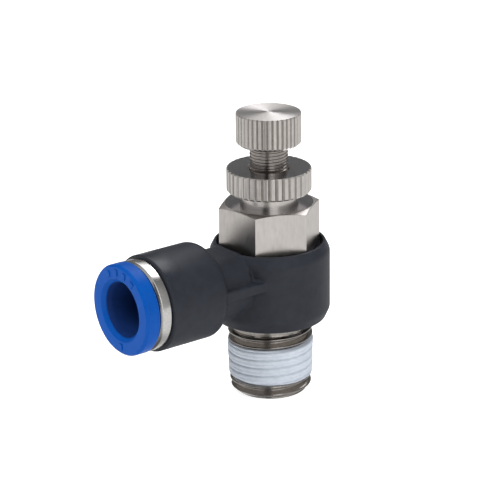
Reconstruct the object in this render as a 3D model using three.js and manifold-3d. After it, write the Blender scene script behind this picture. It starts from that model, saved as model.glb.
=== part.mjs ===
// Push-in elbow flow control valve: R1/4 taper thread below, 8 mm tube port along -X,
// needle with a knurled knob on top. Millimetres, +Z up along the valve axis.
// The origin is the centre of the thread's end face.
import * as THREE from 'three';
import { mergeVertices } from 'three/addons/utils/BufferGeometryUtils.js';
import Module from 'manifold-3d';

const wasm = await Module();
wasm.setup();

// Facets round a full turn
const FINE = 32;
const COARSE = 20;
const RING_SIDES = 6;

// R1/4 taper thread: 19 threads per inch, taper 1 in 16 on the diameter
const THREAD_PITCH = 25.4 / 19;
const THREAD_DEPTH = 0.856;
const GAUGE_Z = 6.0;
const GAUGE_R = 6.5785;
const THREAD_TOP = 10.7;
const crestRadius = (z) => GAUGE_R + (z - GAUGE_Z) / 32;

// Sealant coat on the thread
const SEALANT = { low: 2.65, high: 8.7, proud: 0.15, gap: 0.05, bed: 0.3, turns: 4, ripple: 0.3 };

// Metal body: stem, hexagon and bores
const HEX_FLATS = 14.0;
const HEX_TURN = THREE.MathUtils.degToRad(-23.9);
const HEX_LOW = 23.5;
const HEX_TOP = 30.83;
const HEX_CROWN = { r: 6.95, slope: 0.3 };
const HEX_FOOT_CUT = 0.5;
const STEM_END_R = 5.5;
const NECK_R = 6.3;
const SHOULDER_Z = 10.95;
const LAND_R = 6.75;
const GALLERY_R = 5.2;
const GALLERY = { low: 16.0, high: 21.2 };
const SEAL_RIB = { r: 5.9, low: 17.0, high: 18.8, width: 0.25 };
const GROOVE_R = 5.5;
const O_RING = { r: 6.19, section: 0.65, grooveHalf: 0.7, lowZ: 15.0, highZ: 22.2 };
const SNAP_GROOVE = { r: 6.2, low: 13.1, high: 13.9 };
const SNAP_RING = { inner: 6.25, outer: 7.3, low: 13.15, high: 13.85, openHalf: 0.35 };
const CROSS_HOLES = { r: 1.0, z: 20.0, count: 4 };
const LEAK_HOLES = { r: 0.5, z: 16.5, count: 2 };
const PORT_BORE_R = 4.0;
const CHAMBER_R = 3.3;
const CHAMBER_LOW = 18.4;
const STEM_TOP = 24.5;
const GUIDE_SEAT_LOW = 27.6;
const GUIDE_SEAT_R = 4.05;
const SEAT_RING = { low: 16.95, high: 18.35, r: 3.95, orifice: 2.1 };

// Resin elbow
const SHELL = { r: 9.43, low: 12.5, top: 24.63, bore: 6.9, recess: 8.3, floor: 23.3, draft: 0.05 };
const SHELL_CHAMFER = { lowR: 8.85, lowZ: 13.75, topR: 8.68, topZ: 23.2 };
const COUNTERBORE = { r: 7.5, top: 13.9 };
const BARREL_Z = 19.72;
const BARREL = { front: -24.03, rear: -13.2, r: 7.53, fillet: 1.7, edge: 0.25 };
const NECK = { r: 5.75, end: -7.88, crownEnd: 25.0 };
const RIB = { halfWidth: 7.0, low: 19.3, high: 20.9, past: 1.2 };
const PASSAGE = { halfWidth: 2.8, halfHeight: 1.75, length: 8 };
const CARTRIDGE_BORE = { r: 6.2, end: -17.0 };
const TUBE_BORE = { r: 4.1, end: -12.6 };

// Tube cartridge
const FLANGE = { front: -26.1, r: 7.07 };
const SLEEVE = { r: 6.15, end: -20.9, lip: 5.05, lipEnd: -23.2 };
const CLAWS = { low: -20.75, high: -20.45, r: 6.1, tip: 3.95, root: 5.2, count: 8 };
const CLAW_HOLDER = { front: -20.4, back: -19.5, r: 6.1, bore: 4.35 };
const TUBE_SEAL = { front: -19.4, back: -17.1, r: 6.1, lip: 3.95 };
const RELEASE = { face: -28.75, back: -26.35, r: 7.1, bore: 4.2, sleeve: 4.9, end: -20.98 };
const RELEASE_LUG = { r: 5.35, front: -22.0, back: -21.6 };

// Needle, knob and lock nut
const NEEDLE = { tip: 18.6, tipR: 1.3, seatR: 2.06, seatZ: 20.92, stemR: 2.6, stemLow: 21.3, stemHigh: 22.9 };
const PISTON = { r: 3.2, high: 25.5 };
const NEEDLE_O_RING = { r: 2.79, section: 0.46, z: 24.15 };
const SHANK_R = 2.4;
const SCREW_R = 2.99;
const SCREW_LOW = 36.7;
const SCREW_TURNS = 7;
const SCREW_PITCH = 0.5;
const SCREW_DEPTH = 0.29;
const CLEAR_BORE_R = 3.12;
const NUT = { low: 32.81, high: 36.48, r: 6.61, grooves: 38, grooveDepth: 0.3 };
const COLLAR = { low: 30.88, high: 32.76, r: 4.53 };
const KNOB = { low: 40.27, high: 45.35, r: 5.06, grooves: 40, grooveDepth: 0.26, bore: 2.45, boreTop: 44.1 };
const O_RING_GROOVE = { low: 23.5, high: 24.8, r: 2.3 };

// Finishes
const NICKEL = { color: 0xc9c4bc, roughness: 0.25, metalness: 1.0 };
const STEEL = { color: 0xb8bcc2, roughness: 0.3, metalness: 1.0 };
const BRASS = { color: 0xc8a25a, roughness: 0.35, metalness: 1.0 };
const RESIN = { color: 0x373a41, roughness: 0.6, metalness: 0.0 };
const BLUE = { color: 0x1658b0, roughness: 0.45, metalness: 0.0 };
const RUBBER = { color: 0x1c1c1e, roughness: 0.7, metalness: 0.0 };
const POM = { color: 0xe4e2da, roughness: 0.5, metalness: 0.0 };
const SEAL_COAT = { color: 0xd8dde2, roughness: 0.8, metalness: 0.0 };

const valve = new THREE.Group();

function add(name, geometry, finish) {
  const mesh = new THREE.Mesh(geometry, new THREE.MeshStandardMaterial(finish));
  mesh.name = name;
  valve.add(mesh);
}

// Shared vertices merged, and triangles that shrink to a line at the axis dropped
function weld(geometry) {
  const bare = geometry.clone();
  bare.deleteAttribute('normal');
  bare.deleteAttribute('uv');
  const merged = mergeVertices(bare);
  const index = merged.index.array;
  const kept = [];
  for (let i = 0; i < index.length; i += 3) {
    const [a, b, c] = [index[i], index[i + 1], index[i + 2]];
    if (a !== b && b !== c && c !== a) kept.push(a, b, c);
  }
  merged.setIndex(kept);
  return merged;
}

function toSolid(geometry) {
  const merged = weld(geometry);
  const mesh = new wasm.Mesh({
    numProp: 3,
    vertProperties: new Float32Array(merged.attributes.position.array),
    triVerts: new Uint32Array(merged.index.array),
  });
  return new wasm.Manifold(mesh);
}

function toGeometry(solid) {
  const mesh = solid.getMesh();
  const geometry = new THREE.BufferGeometry();
  geometry.setAttribute('position', new THREE.BufferAttribute(mesh.vertProperties, 3));
  geometry.setIndex(new THREE.BufferAttribute(mesh.triVerts, 1));
  return geometry;
}

// A profile of [radius, height] pairs turned about Z. The outer side is listed going up.
function turned(profile, sides = FINE) {
  const points = profile.map(([r, z]) => new THREE.Vector2(r, z));
  const onAxis = profile[0][0] === 0 && profile.at(-1)[0] === 0;
  if (!onAxis) points.push(points[0].clone());
  return weld(new THREE.LatheGeometry(points, sides).rotateX(Math.PI / 2));
}

// The same, turned about the tube port's axis: heights become X positions
function turnedAlongPort(profile, sides = FINE) {
  return turned(profile, sides).rotateY(Math.PI / 2).translate(0, 0, BARREL_Z);
}

function circlePath(r, sides) {
  const path = new THREE.Path();
  for (let i = 0; i < sides; i++) {
    const angle = (2 * Math.PI * i) / sides;
    if (i === 0) path.moveTo(r * Math.cos(angle), r * Math.sin(angle));
    else path.lineTo(r * Math.cos(angle), r * Math.sin(angle));
  }
  path.closePath();
  return path;
}

function prism(shape, low, high) {
  const geometry = new THREE.ExtrudeGeometry(shape, { depth: high - low, bevelEnabled: false });
  return geometry.translate(0, 0, low);
}

// V rings between two heights, as points going up: crest, valley, crest ...
function threadRings(low, count, pitch, crest, depth) {
  const points = [];
  for (let i = 0; i < count; i++) {
    const z = low + i * pitch;
    points.push([crest(z), z]);
    points.push([crest(z + pitch / 2) - depth, z + pitch / 2]);
  }
  const end = low + count * pitch;
  points.push([crest(end), end]);
  return points;
}

// Round outline with evenly spaced V grooves
function grooved(r, count, depth) {
  const shape = new THREE.Shape();
  const step = (2 * Math.PI) / count;
  const corners = [[0, 0], [0.5, depth]];
  for (let i = 0; i < count; i++) {
    for (const [part, cut] of corners) {
      const angle = (i + part) * step;
      const [x, y] = [(r - cut) * Math.cos(angle), (r - cut) * Math.sin(angle)];
      if (i === 0 && part === 0) shape.moveTo(x, y);
      else shape.lineTo(x, y);
    }
  }
  shape.closePath();
  return shape;
}

// Drillings across the stem, all at one height
function crossHoles({ r, z, count }) {
  const length = LAND_R + 1;
  let holes = null;
  for (let i = 0; i < count; i++) {
    const drill = new THREE.CylinderGeometry(r, r, length, 8);
    drill.rotateZ(Math.PI / 2).translate(length / 2, 0, 0);
    drill.rotateZ((2 * Math.PI * (i + 0.5)) / count).translate(0, 0, z);
    const hole = toSolid(drill);
    holes = holes ? holes.add(hole) : hole;
  }
  return holes;
}

function valveBody() {
  const root = (z) => crestRadius(z) - THREAD_DEPTH / 2;
  const lowTurns = threadRings(1.0, 1, THREAD_PITCH, crestRadius, THREAD_DEPTH);
  const highTurns = threadRings(9.1, 1, THREAD_PITCH, crestRadius, THREAD_DEPTH);
  const { low: sealLow, high: sealHigh, width, r: ribR } = SEAL_RIB;
  const stem = turned([
    [PORT_BORE_R, 0], [STEM_END_R, 0],
    ...lowTurns,
    [root(SEALANT.low) - SEALANT.bed, SEALANT.low - 0.1],
    [root(SEALANT.high) - SEALANT.bed, SEALANT.high + 0.1],
    ...highTurns,
    [crestRadius(THREAD_TOP), THREAD_TOP], [NECK_R, SHOULDER_Z], [NECK_R, 12.3], [LAND_R, 12.75],
    ...cutIn(SNAP_GROOVE.r, SNAP_GROOVE.low, SNAP_GROOVE.high),
    ...cutIn(GROOVE_R, O_RING.lowZ - O_RING.grooveHalf, O_RING.lowZ + O_RING.grooveHalf),
    [LAND_R, GALLERY.low], [GALLERY_R, GALLERY.low], [GALLERY_R, sealLow],
    [ribR, sealLow], [ribR, sealLow + width], [GALLERY_R, sealLow + width], [GALLERY_R, sealHigh - width],
    [ribR, sealHigh - width], [ribR, sealHigh], [GALLERY_R, sealHigh], [GALLERY_R, GALLERY.high],
    [LAND_R, GALLERY.high],
    ...cutIn(GROOVE_R, O_RING.highZ - O_RING.grooveHalf, O_RING.highZ + O_RING.grooveHalf),
    [LAND_R, STEM_TOP], [GUIDE_SEAT_R, STEM_TOP], [CHAMBER_R, STEM_TOP - 0.5],
    [CHAMBER_R, CHAMBER_LOW], [PORT_BORE_R, CHAMBER_LOW],
  ]);
  const holes = crossHoles(CROSS_HOLES).add(crossHoles(LEAK_HOLES));
  return toGeometry(toSolid(stem).add(hexagon()).subtract(holes));
}

// A square groove in the stem's land, as points going up
function cutIn(r, low, high) {
  return [[LAND_R, low], [r, low], [r, high], [LAND_R, high]];
}

function hexagon() {
  const corner = HEX_FLATS / 2 / Math.cos(Math.PI / 6);
  const outline = new THREE.Shape();
  for (let i = 0; i < 6; i++) {
    const angle = HEX_TURN + (i * Math.PI) / 3;
    if (i === 0) outline.moveTo(corner * Math.cos(angle), corner * Math.sin(angle));
    else outline.lineTo(corner * Math.cos(angle), corner * Math.sin(angle));
  }
  outline.closePath();
  const past = corner + 0.1;
  const chamfer = turned([
    [CHAMBER_R, HEX_LOW], [HEX_FLATS / 2 + 0.3, HEX_LOW], [past, HEX_LOW + HEX_FOOT_CUT],
    [past, HEX_TOP - (past - HEX_CROWN.r) * HEX_CROWN.slope], [HEX_CROWN.r, HEX_TOP],
    [GUIDE_SEAT_R, HEX_TOP], [GUIDE_SEAT_R, GUIDE_SEAT_LOW], [CHAMBER_R, GUIDE_SEAT_LOW],
  ]);
  return toSolid(prism(outline, HEX_LOW, HEX_TOP)).intersect(toSolid(chamfer));
}

function sealantCoat() {
  const outer = (z) => crestRadius(z) + SEALANT.proud;
  const inner = (z) => crestRadius(z) - THREAD_DEPTH / 2 - SEALANT.bed + SEALANT.gap;
  const { low, high, turns, ripple } = SEALANT;
  return turned([
    [inner(low), low], [outer(low) - ripple, low],
    ...threadRings(low + 0.25, turns, THREAD_PITCH, outer, ripple),
    [outer(high) - ripple, high], [inner(high), high],
  ]);
}

function oRing(r, section, z) {
  const profile = [];
  for (let i = 0; i < RING_SIDES; i++) {
    const angle = (2 * Math.PI * i) / RING_SIDES;
    profile.push([r + section * Math.cos(angle), z + section * Math.sin(angle)]);
  }
  return turned(profile, COARSE);
}

// Lip packing: sealed when pressed from the thread side, folds when pressed from the tube side
function checkSeal() {
  return turned([
    [GALLERY_R + 0.06, 17.3], [5.6, 17.3], [5.75, 17.9], [6.35, 17.3], [6.82, 17.35],
    [6.3, 18.5], [GALLERY_R + 0.06, 18.5],
  ], COARSE);
}

// Open snap ring in the stem's lowest groove
function retainingRing() {
  const { inner, outer, low, high, openHalf } = SNAP_RING;
  const steps = 20;
  const shape = new THREE.Shape();
  for (let i = 0; i <= steps; i++) {
    const angle = openHalf + ((2 * Math.PI - 2 * openHalf) * i) / steps;
    if (i === 0) shape.moveTo(outer * Math.cos(angle), outer * Math.sin(angle));
    else shape.lineTo(outer * Math.cos(angle), outer * Math.sin(angle));
  }
  for (let i = steps; i >= 0; i--) {
    const angle = openHalf + ((2 * Math.PI - 2 * openHalf) * i) / steps;
    shape.lineTo(inner * Math.cos(angle), inner * Math.sin(angle));
  }
  shape.closePath();
  return prism(shape, low, high);
}

function seatRing() {
  const { low, high, r, orifice } = SEAT_RING;
  return turned([[orifice + 0.7, low], [r, low], [r, high], [orifice, high], [orifice, low + 0.6]], COARSE);
}

function needleGuide() {
  return turned([
    [CLEAR_BORE_R, GUIDE_SEAT_LOW + 0.05], [4.0, GUIDE_SEAT_LOW + 0.05],
    [4.0, HEX_TOP - 0.02], [CLEAR_BORE_R, HEX_TOP - 0.02],
  ], COARSE);
}

function elbowBody() {
  const { lowR, lowZ, topR, topZ } = SHELL_CHAMFER;
  const mouthR = SHELL.recess + SHELL.draft;
  const shell = toSolid(turned([
    [COUNTERBORE.r, SHELL.low], [lowR, SHELL.low], [SHELL.r, lowZ], [SHELL.r, topZ], [topR, SHELL.top],
    [mouthR, SHELL.top], [SHELL.recess, SHELL.floor], [SHELL.bore, SHELL.floor],
    [SHELL.bore, COUNTERBORE.top], [COUNTERBORE.r, COUNTERBORE.top],
  ]));
  const core = toSolid(turned([
    [0, SHELL.low - 1], [SHELL.bore, SHELL.low - 1], [SHELL.bore, SHELL.floor], [SHELL.recess, SHELL.floor],
    [mouthR, SHELL.top], [mouthR, SHELL.top + 2], [0, SHELL.top + 2],
  ]));
  const arm = toSolid(barrel()).add(neck()).add(toSolid(rib())).subtract(cartridgeBore());
  return toGeometry(arm.subtract(core).add(shell).subtract(passage()));
}

// Round neck between barrel and shell, its crown sloping down towards the hexagon's recess
function neck() {
  const start = BARREL.rear - 2;
  const tube = turnedAlongPort([[0, start], [NECK.r, start], [NECK.r, NECK.end], [0, NECK.end]]);
  const side = new THREE.Shape();
  side.moveTo(start - 1, BARREL_Z + NECK.r);
  side.lineTo(BARREL.rear, BARREL_Z + NECK.r);
  side.lineTo(NECK.end + 1, NECK.crownEnd);
  side.lineTo(NECK.end + 1, BARREL_Z - NECK.r - 1);
  side.lineTo(start - 1, BARREL_Z - NECK.r - 1);
  side.closePath();
  const trim = prism(side, -NECK.r - 1, NECK.r + 1).rotateX(Math.PI / 2);
  return toSolid(tube).intersect(toSolid(trim));
}

function rib() {
  const length = RIB.past - BARREL.rear;
  const plate = new THREE.BoxGeometry(length, 2 * RIB.halfWidth, RIB.high - RIB.low);
  return plate.translate(-length / 2, 0, (RIB.low + RIB.high) / 2);
}

function barrel() {
  const { front, r: outer, edge } = BARREL;
  const profile = [[0, front], [outer - edge, front], [outer, front + edge]];
  const steps = 5;
  for (let i = 0; i <= steps; i++) {
    const angle = (i / steps) * (Math.PI / 2);
    const r = outer - BARREL.fillet * (1 - Math.cos(angle));
    profile.push([r, BARREL.rear - BARREL.fillet + BARREL.fillet * Math.sin(angle)]);
  }
  profile.push([0, BARREL.rear]);
  return turnedAlongPort(profile);
}

function cartridgeBore() {
  return toSolid(turnedAlongPort([
    [0, BARREL.front - 1], [CARTRIDGE_BORE.r, BARREL.front - 1], [CARTRIDGE_BORE.r, CARTRIDGE_BORE.end],
    [TUBE_BORE.r, CARTRIDGE_BORE.end], [TUBE_BORE.r, TUBE_BORE.end], [0, TUBE_BORE.end],
  ]));
}

// Flat-sided oval way from the tube stop into the gallery round the stem
function passage() {
  const { halfWidth, halfHeight, length } = PASSAGE;
  const way = new THREE.CylinderGeometry(1, 1, length, 16);
  way.rotateZ(Math.PI / 2).scale(1, halfWidth, halfHeight);
  return toSolid(way.translate(TUBE_BORE.end - 1 + length / 2, 0, BARREL_Z));
}

function guideRing() {
  const { front, r } = FLANGE;
  return turnedAlongPort([
    [SLEEVE.lip, front + 0.2], [6.6, front], [r - 0.15, front], [r, front + 0.15],
    [r, BARREL.front - 0.22], [r - 0.15, BARREL.front - 0.07], [SLEEVE.r, BARREL.front - 0.07],
    [SLEEVE.r, SLEEVE.end], [5.5, SLEEVE.end], [5.5, SLEEVE.lipEnd], [SLEEVE.lip, SLEEVE.lipEnd],
  ]);
}

// Stainless ring with inward teeth that bite the tube
function lockClaws() {
  const shape = new THREE.Shape();
  shape.curves.push(...circlePath(CLAWS.r, COARSE).curves);
  const { tip, root, count } = CLAWS;
  const tooth = [[0, tip], [0.35, tip], [0.7, tip], [0.74, root], [0.96, root]];
  const teeth = new THREE.Path();
  for (let i = 0; i < count; i++) {
    for (const [part, r] of tooth) {
      const angle = ((i + part) * 2 * Math.PI) / count;
      const [x, y] = [r * Math.cos(angle), r * Math.sin(angle)];
      if (i === 0 && part === 0) teeth.moveTo(x, y);
      else teeth.lineTo(x, y);
    }
  }
  teeth.closePath();
  shape.holes.push(teeth);
  return prism(shape, CLAWS.low, CLAWS.high).rotateY(Math.PI / 2).translate(0, 0, BARREL_Z);
}

// Cone that backs the claws
function clawHolder() {
  const { front, back, r, bore } = CLAW_HOLDER;
  return turnedAlongPort([
    [bore + 0.35, front + 0.3], [bore + 0.95, front], [r, front], [r, back], [bore, back], [bore, back - 0.4],
  ], COARSE);
}

function tubeSeal() {
  const { front, back, r, lip } = TUBE_SEAL;
  return turnedAlongPort([
    [lip + 0.45, front], [r, front], [r, back], [lip + 0.65, back], [lip, back - 0.8], [lip, front + 1],
  ], COARSE);
}

function releaseRing() {
  const { face, back, r, bore, sleeve, end } = RELEASE;
  return turnedAlongPort([
    [bore + 0.75, face], [r - 0.35, face], [r, face + 0.35], [r, back - 0.1], [r - 0.1, back],
    [sleeve, back], [sleeve, RELEASE_LUG.front], [RELEASE_LUG.r, RELEASE_LUG.front],
    [RELEASE_LUG.r, RELEASE_LUG.back], [sleeve - 0.2, end], [bore, end], [bore, face + 0.75],
  ]);
}

function needle() {
  const { tip, tipR, seatR, seatZ, stemR, stemLow, stemHigh } = NEEDLE;
  const { low, high, r } = O_RING_GROOVE;
  return turned([
    [0, tip], [tipR, tip], [seatR, seatZ], [stemR, stemLow], [stemR, stemHigh], [PISTON.r, stemHigh],
    [PISTON.r, low], [r, low], [r, high], [PISTON.r, high], [PISTON.r, PISTON.high], [SCREW_R, PISTON.high],
    ...threadRings(SCREW_LOW, SCREW_TURNS, SCREW_PITCH, () => SCREW_R, SCREW_DEPTH),
    [SHANK_R, KNOB.low - 0.05], [SHANK_R, KNOB.boreTop - 0.1], [0, KNOB.boreTop - 0.1],
  ], COARSE);
}

// Knurled rim: grooved prism trimmed by a chamfered blank with its bore
function knurled(part, blank) {
  const outline = grooved(part.r, part.grooves, part.grooveDepth);
  return toGeometry(toSolid(prism(outline, part.low - 0.5, part.high + 0.5)).intersect(toSolid(blank)));
}

function knob() {
  const { low, high, r, bore, boreTop } = KNOB;
  return knurled(KNOB, turned([
    [0, boreTop], [bore, boreTop], [bore, low], [r - 0.4, low], [r + 0.06, low + 0.46],
    [r + 0.06, high - 0.24], [r - 0.24, high], [0, high],
  ]));
}

function lockNut() {
  const { low, high, r } = NUT;
  return knurled(NUT, turned([
    [CLEAR_BORE_R, low], [r - 0.24, low], [r + 0.06, low + 0.3], [r + 0.06, high - 0.3], [r - 0.24, high],
    [CLEAR_BORE_R + 0.2, high], [CLEAR_BORE_R, high - 0.2],
  ]));
}

function lockNutCollar() {
  const { low, high, r } = COLLAR;
  return turned([[CLEAR_BORE_R, low], [r - 0.1, low], [r, low + 0.1], [r, high], [CLEAR_BORE_R, high]]);
}

add('valve_body', valveBody(), NICKEL);
add('thread_sealant', sealantCoat(), SEAL_COAT);
add('needle_guide', needleGuide(), BRASS);
add('seat_ring', seatRing(), BRASS);
add('retaining_ring', retainingRing(), STEEL);
add('lower_o_ring', oRing(O_RING.r, O_RING.section, O_RING.lowZ), RUBBER);
add('upper_o_ring', oRing(O_RING.r, O_RING.section, O_RING.highZ), RUBBER);
add('check_seal', checkSeal(), RUBBER);
add('elbow_body', elbowBody(), RESIN);
add('guide_ring', guideRing(), NICKEL);
add('lock_claws', lockClaws(), STEEL);
add('claw_holder', clawHolder(), POM);
add('tube_seal', tubeSeal(), RUBBER);
add('release_ring', releaseRing(), BLUE);
add('needle_o_ring', oRing(NEEDLE_O_RING.r, NEEDLE_O_RING.section, NEEDLE_O_RING.z), RUBBER);
add('needle', needle(), NICKEL);
add('knob', knob(), NICKEL);
add('lock_nut_collar', lockNutCollar(), NICKEL);
add('lock_nut', lockNut(), NICKEL);

export default valve;
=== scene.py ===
"""Looks for the elbow flow control valve: fine meshes, materials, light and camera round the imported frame."""
import math

import bmesh
import bpy
import numpy as np
from mathutils import Matrix, Vector


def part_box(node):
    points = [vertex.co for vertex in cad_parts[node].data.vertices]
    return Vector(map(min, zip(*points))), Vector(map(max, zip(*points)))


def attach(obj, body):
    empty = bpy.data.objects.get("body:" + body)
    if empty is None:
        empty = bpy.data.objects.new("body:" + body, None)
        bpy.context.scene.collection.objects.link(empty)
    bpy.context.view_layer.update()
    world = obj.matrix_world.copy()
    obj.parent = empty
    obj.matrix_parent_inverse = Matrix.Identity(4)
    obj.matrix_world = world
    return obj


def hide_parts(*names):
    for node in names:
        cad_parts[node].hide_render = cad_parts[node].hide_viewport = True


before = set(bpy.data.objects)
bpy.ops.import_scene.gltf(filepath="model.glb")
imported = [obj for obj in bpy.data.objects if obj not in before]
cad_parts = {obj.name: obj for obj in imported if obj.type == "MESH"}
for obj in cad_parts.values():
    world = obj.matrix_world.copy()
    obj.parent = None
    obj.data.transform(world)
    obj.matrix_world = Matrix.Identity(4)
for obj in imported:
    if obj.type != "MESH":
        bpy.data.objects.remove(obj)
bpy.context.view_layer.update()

MM = 0.001
TURN = 2 * math.pi


# ---------------------------------------------------------------- frame sizes, in millimetres
def box_mm(node):
    low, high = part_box(node)
    return [c / MM for c in low], [c / MM for c in high]


_, BODY_HIGH = box_mm("valve_body")
COAT_LOW, COAT_HIGH = box_mm("thread_sealant")
SHELL_LOW, SHELL_HIGH = box_mm("elbow_body")
FLANGE_LOW, FLANGE_HIGH = box_mm("guide_ring")
RING_LOW, RING_HIGH = box_mm("release_ring")
NUT_LOW, NUT_HIGH = box_mm("lock_nut")
_, COLLAR_HIGH = box_mm("lock_nut_collar")
KNOB_LOW, KNOB_HIGH = box_mm("knob")

PORT_Z = (RING_LOW[2] + RING_HIGH[2]) / 2
BARREL_FRONT = SHELL_LOW[0]


# ---------------------------------------------------------------- outlines
NEARLY_STRAIGHT = math.radians(88)
CORNER_SHARE = 0.45


def rounded(corners, steps=4):
    """Points of an outline whose corners (r, z, radius) are turned into arcs.
    An arc takes up to CORNER_SHARE of the sides that it joins."""
    points = []
    count = len(corners)
    for i, (r, z, radius) in enumerate(corners):
        here = Vector((r, z))
        back = Vector(corners[i - 1][:2]) - here
        ahead = Vector(corners[(i + 1) % count][:2]) - here
        if radius <= 0 or back.length == 0 or ahead.length == 0 or back.angle(ahead) / 2 > NEARLY_STRAIGHT:
            points.append((r, z))
            continue
        half = back.angle(ahead) / 2
        reach = min(radius / math.tan(half), CORNER_SHARE * back.length, CORNER_SHARE * ahead.length)
        size = reach * math.tan(half)
        middle = (back.normalized() + ahead.normalized()).normalized()
        centre = here + middle * (reach / math.cos(half))
        start = here + back.normalized() * reach - centre
        end = here + ahead.normalized() * reach - centre
        first = math.atan2(start.y, start.x)
        sweep = (math.atan2(end.y, end.x) - first + math.pi) % TURN - math.pi
        for k in range(steps + 1):
            angle = first + sweep * k / steps
            points.append((centre.x + size * math.cos(angle), centre.y + size * math.sin(angle)))
    return points


def split_long(points, step):
    """The same outline with extra points where a side is longer than step."""
    out = []
    for i, (r, z) in enumerate(points):
        r2, z2 = points[(i + 1) % len(points)]
        parts = max(1, math.ceil(math.hypot(r2 - r, z2 - z) / step))
        out += [(r + (r2 - r) * k / parts, z + (z2 - z) * k / parts) for k in range(parts)]
    return out


# ---------------------------------------------------------------- meshes
WELD_M = 1e-6
SLIVER_M = 1e-7


def object_from(name, vertices, faces, sharp=32.0):
    """A mesh object in millimetres brought to metres, welded, turned outwards and smooth shaded.
    Edges that bend by more than sharp degrees stay sharp."""
    mesh = bpy.data.meshes.new(name)
    mesh.from_pydata([(x * MM, y * MM, z * MM) for x, y, z in vertices], [], faces)
    work = bmesh.new()
    work.from_mesh(mesh)
    bmesh.ops.remove_doubles(work, verts=work.verts, dist=WELD_M)
    bmesh.ops.dissolve_degenerate(work, edges=work.edges, dist=SLIVER_M)
    bmesh.ops.recalc_face_normals(work, faces=work.faces)
    work.to_mesh(mesh)
    work.free()
    mesh.shade_smooth()
    mesh.set_sharp_from_angle(angle=math.radians(sharp))
    piece = bpy.data.objects.new(name, mesh)
    bpy.context.scene.collection.objects.link(piece)
    return piece


def band_faces(rows, width, closed=True):
    """Quads between rows of points that each close on themselves.
    closed also joins the last row to the first."""
    faces = []
    for i in range(rows if closed else rows - 1):
        j = (i + 1) % rows
        for k in range(width):
            m = (k + 1) % width
            faces.append((i * width + k, j * width + k, j * width + m, i * width + m))
    return faces


def end_caps(rows, width):
    """The faces that close an open band."""
    return [tuple(range(width)), tuple(range((rows - 1) * width, rows * width))]


def upright(r, z, angle):
    return (r * math.cos(angle), r * math.sin(angle), z)


def along_port(r, x, angle):
    return (x, r * math.cos(angle), PORT_Z + r * math.sin(angle))


def revolve(name, outline, place=upright, sides=160, shape=None, sharp=32.0):
    """Turns a closed outline about its axis. shape(r, angle) may change each point's radius."""
    vertices = []
    for i in range(sides):
        angle = TURN * i / sides
        for r, z in outline:
            vertices.append(place(shape(r, angle) if shape else r, z, angle))
    return object_from(name, vertices, band_faces(sides, len(outline)), sharp)


def ring(name, corners, place=upright, sides=160):
    return revolve(name, rounded(corners), place, sides)


def round_ring(name, node, section, steps=24):
    """A ring of round section at the middle height and outer size of the node's box."""
    low, high = box_mm(node)
    centre_r = high[0] - section
    middle = (low[2] + high[2]) / 2
    angles = [TURN * k / steps for k in range(steps)]
    return revolve(name, [(centre_r + section * math.cos(a), middle + section * math.sin(a)) for a in angles])


V_ROUNDING = 0.35


def v_form(u, flat=0.10):
    """0 on the crest (u = 0), 1 in the valley (u = 0.5), with flanks that are straight but for their ends."""
    t = abs((u + 0.5) % 1.0 - 0.5) * 2
    t = min(max((t - flat) / (1 - 2 * flat), 0.0), 1.0)
    return t * t * (3 - 2 * t) * V_ROUNDING + t * (1 - V_ROUNDING)


def helix_rows(low, high, pitch, samples):
    """Row starts of a helical grid that covers low to high at every angle."""
    turns = math.ceil((high - low) / pitch) + 1
    return [low + pitch * (k + s / samples) for k in range(-1, turns) for s in range(samples)]


def helical(name, low, high, pitch, radius, before, after, columns=144, samples=14, sharp=32.0):
    """A right-hand helical surface from low to high, closed by the outlines before and after it.
    radius(z, angle) is the surface; before runs up to its low end, after runs on from its high end."""
    starts = helix_rows(low, high, pitch, samples)
    vertices = []
    for i in range(columns + 1):
        angle = TURN * i / columns
        vertices += [upright(r, z, angle) for r, z in before]
        for start in starts:
            z = min(max(start + pitch * i / columns, low), high)
            vertices.append(upright(radius(z, angle), z, angle))
        vertices += [upright(r, z, angle) for r, z in after]
    width = len(before) + len(starts) + len(after)
    return object_from(name, vertices, band_faces(columns + 1, width, closed=False), sharp)


# ---------------------------------------------------------------- materials
class Nodes:
    """Short ways to add and join shader nodes in one tree."""

    def __init__(self, tree):
        self.tree = tree

    def link(self, source, target):
        self.tree.links.new(source, target)

    def maths(self, operation, *values):
        node = self.tree.nodes.new("ShaderNodeMath")
        node.operation = operation
        for value, socket in zip(values, node.inputs):
            self.link(value, socket)
        return node.outputs[0]

    def along(self, vector, direction):
        """How far a vector reaches along a direction."""
        node = self.tree.nodes.new("ShaderNodeVectorMath")
        node.operation = "DOT_PRODUCT"
        node.inputs[1].default_value = direction
        self.link(vector, node.inputs[0])
        return node.outputs["Value"]

    def ramp(self, value, low, high, start=0.3, end=0.7):
        """low up to start, high from end on, and even steps between."""
        node = self.tree.nodes.new("ShaderNodeMapRange")
        node.inputs["From Min"].default_value = start
        node.inputs["From Max"].default_value = end
        node.inputs["To Min"].default_value = low
        node.inputs["To Max"].default_value = high
        self.link(value, node.inputs["Value"])
        return node.outputs["Result"]

    def mix(self, value, one, two):
        """Colour between one and two. Each is a colour or a socket."""
        node = self.tree.nodes.new("ShaderNodeMix")
        node.data_type = "RGBA"
        self.link(value, node.inputs[0])
        for colour, socket in ((one, node.inputs[6]), (two, node.inputs[7])):
            if isinstance(colour, tuple):
                socket.default_value = colour
            else:
                self.link(colour, socket)
        return node.outputs[2]

    def levels(self, turn, stops):
        """Grey levels (degrees, level) round a full turn, where turn runs from 0 to 1."""
        node = self.tree.nodes.new("ShaderNodeValToRGB")
        elements = node.color_ramp.elements
        while len(elements) < len(stops):
            elements.new(0.5)
        for element, (degrees, level) in zip(elements, stops):
            element.position = (degrees + 180) / 360
            element.color = (level, level, level, 1)
        self.link(turn, node.inputs["Fac"])
        return node.outputs["Color"]


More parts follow.
